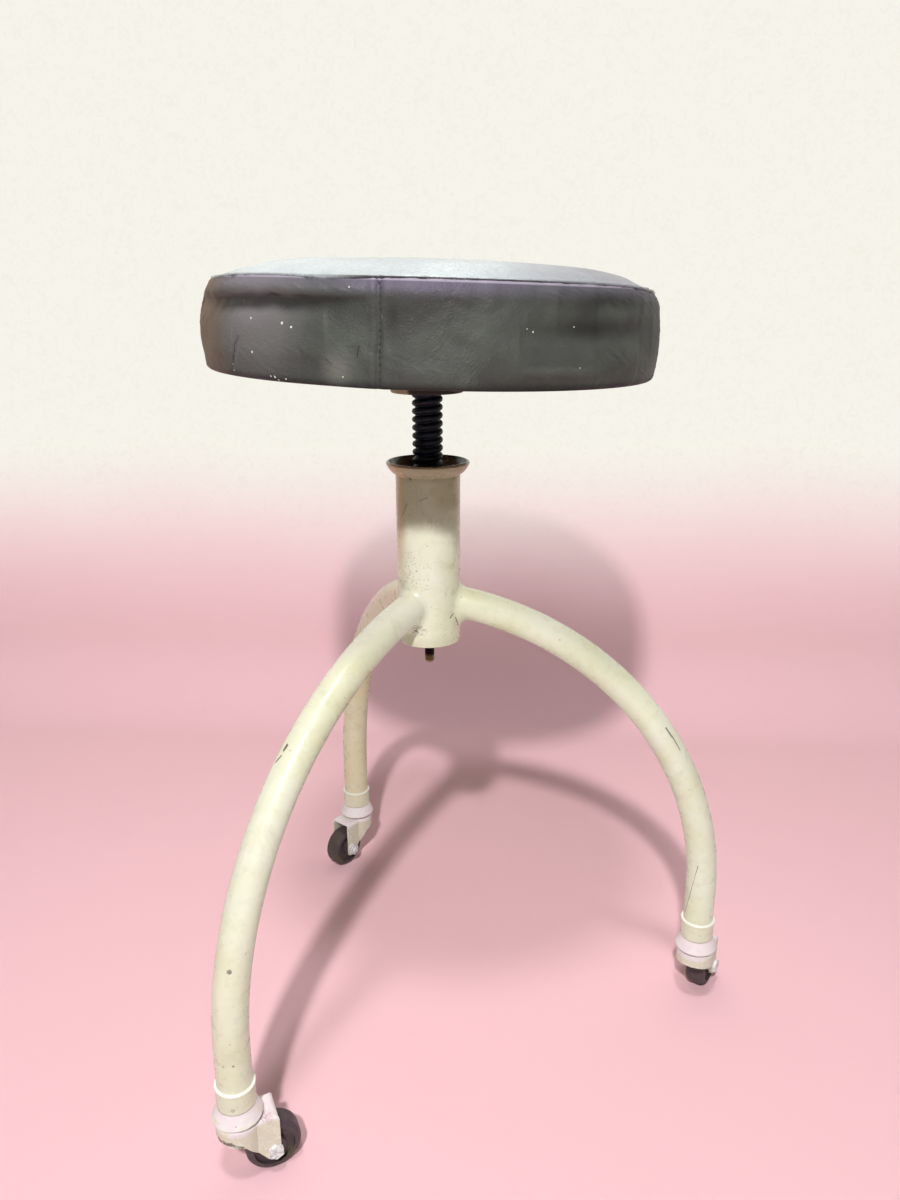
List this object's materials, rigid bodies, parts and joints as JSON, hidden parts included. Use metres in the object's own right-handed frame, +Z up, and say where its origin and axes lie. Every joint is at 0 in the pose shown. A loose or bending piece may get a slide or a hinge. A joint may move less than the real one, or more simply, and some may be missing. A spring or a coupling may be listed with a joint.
{
  "type": "medical stool",
  "caption": "Screw-lift clinic stool: round padded seat on a threaded spindle, short column, bent tubular legs and swivel casters.",
  "frame": {"origin": "on the floor, on the axis of the column", "axes": "+Z up along the column; +X towards one leg, the others at 115 and 238 degrees, as welded"},
  "size_m": [0.4165, 0.4423, 0.6223],
  "materials": {
    "enamel": "old cream enamel, glossy, chipped",
    "caster_enamel": "cream enamel over pressed steel",
    "greased_steel": "black greased steel",
    "bare_steel": "dull zinc-plated steel",
    "worn_stud": "worn, tarnished steel",
    "hub_iron": "brown painted casting",
    "bronze": "dull bearing bronze",
    "wheel_rubber": "hard black rubber, worn",
    "vinyl_top": "grey leather-grained vinyl, glossy",
    "vinyl_band": "grey leather-grained vinyl",
    "foam": "yellowed upholstery foam",
    "plywood": "unfinished plywood"
  },
  "bodies": {
    "base": {"column_tube": "enamel", "lift_nut": "greased_steel", "leg_welds": "enamel", "leg_tube_right": "enamel", "leg_ferrule_right": "enamel", "caster_cup_right": "caster_enamel", "stem_socket_right": "bare_steel", "leg_tube_rear": "enamel", "leg_ferrule_rear": "enamel", "caster_cup_rear": "caster_enamel", "stem_socket_rear": "bare_steel", "leg_tube_front": "enamel", "leg_ferrule_front": "enamel", "caster_cup_front": "caster_enamel", "stem_socket_front": "bare_steel"},
    "lift": {"stop_washer": "bare_steel"},
    "seat": {"lift_spindle": "greased_steel", "stop_stud": "worn_stud", "stop_nut": "bare_steel", "seat_hub": "hub_iron", "seat_plate": "hub_iron", "plate_screws": "bare_steel", "seat_board": "plywood", "seat_foam": "foam", "cover_top": "vinyl_top", "cover_band": "vinyl_band", "hem_staples": "bare_steel"},
    "swivel_right": {"caster_fork_right": "caster_enamel", "caster_stem_right": "bare_steel", "race_balls_right": "bare_steel", "axle_bolt_right": "caster_enamel", "axle_nut_right": "caster_enamel"},
    "wheel_right": {"caster_wheel_right": "wheel_rubber", "wheel_bush_right": "bronze"},
    "swivel_rear": {"caster_fork_rear": "caster_enamel", "caster_stem_rear": "bare_steel", "race_balls_rear": "bare_steel", "axle_bolt_rear": "caster_enamel", "axle_nut_rear": "caster_enamel"},
    "wheel_rear": {"caster_wheel_rear": "wheel_rubber", "wheel_bush_rear": "bronze"},
    "swivel_front": {"caster_fork_front": "caster_enamel", "caster_stem_front": "bare_steel", "race_balls_front": "bare_steel", "axle_bolt_front": "caster_enamel", "axle_nut_front": "caster_enamel"},
    "wheel_front": {"caster_wheel_front": "wheel_rubber", "wheel_bush_front": "bronze"}
  },
  "joints": [
    {"name": "seat_lift", "type": "slide", "parent": "base", "child": "lift", "axis": [0, 0, 1], "range_m": [-0.042, 0.06]},
    {"name": "seat_turn", "type": "hinge", "parent": "lift", "child": "seat", "pos_m": [0, 0, 0.45], "axis": [0, 0, 1], "range_deg": [-2520, 3600]},
    {"name": "swivel_turn_right", "type": "hinge", "parent": "base", "child": "swivel_right", "pos_m": [0.232, 0, 0.05], "axis": [0, 0, 1], "continuous": true},
    {"name": "wheel_spin_right", "type": "hinge", "parent": "swivel_right", "child": "wheel_right", "pos_m": [0.24359, 0.01929, 0.02], "axis": [-0.8572, 0.515, 0], "continuous": true},
    {"name": "swivel_turn_rear", "type": "hinge", "parent": "base", "child": "swivel_rear", "pos_m": [-0.09805, 0.21026, 0.05], "axis": [0, 0, 1], "continuous": true},
    {"name": "wheel_spin_rear", "type": "hinge", "parent": "swivel_rear", "child": "wheel_rear", "pos_m": [-0.11095, 0.19183, 0.02], "axis": [0.8192, -0.5736, 0], "continuous": true},
    {"name": "swivel_turn_front", "type": "hinge", "parent": "base", "child": "swivel_front", "pos_m": [-0.12294, -0.19675, 0.05], "axis": [0, 0, 1], "continuous": true},
    {"name": "wheel_spin_front", "type": "hinge", "parent": "swivel_front", "child": "wheel_front", "pos_m": [-0.10281, -0.18671, 0.02], "axis": [-0.4462, 0.8949, 0], "continuous": true}
  ],
  "couplings": [
    {"joint": "seat_lift", "follows": "seat_turn", "m_per_rad": 0.00095493}
  ]
}
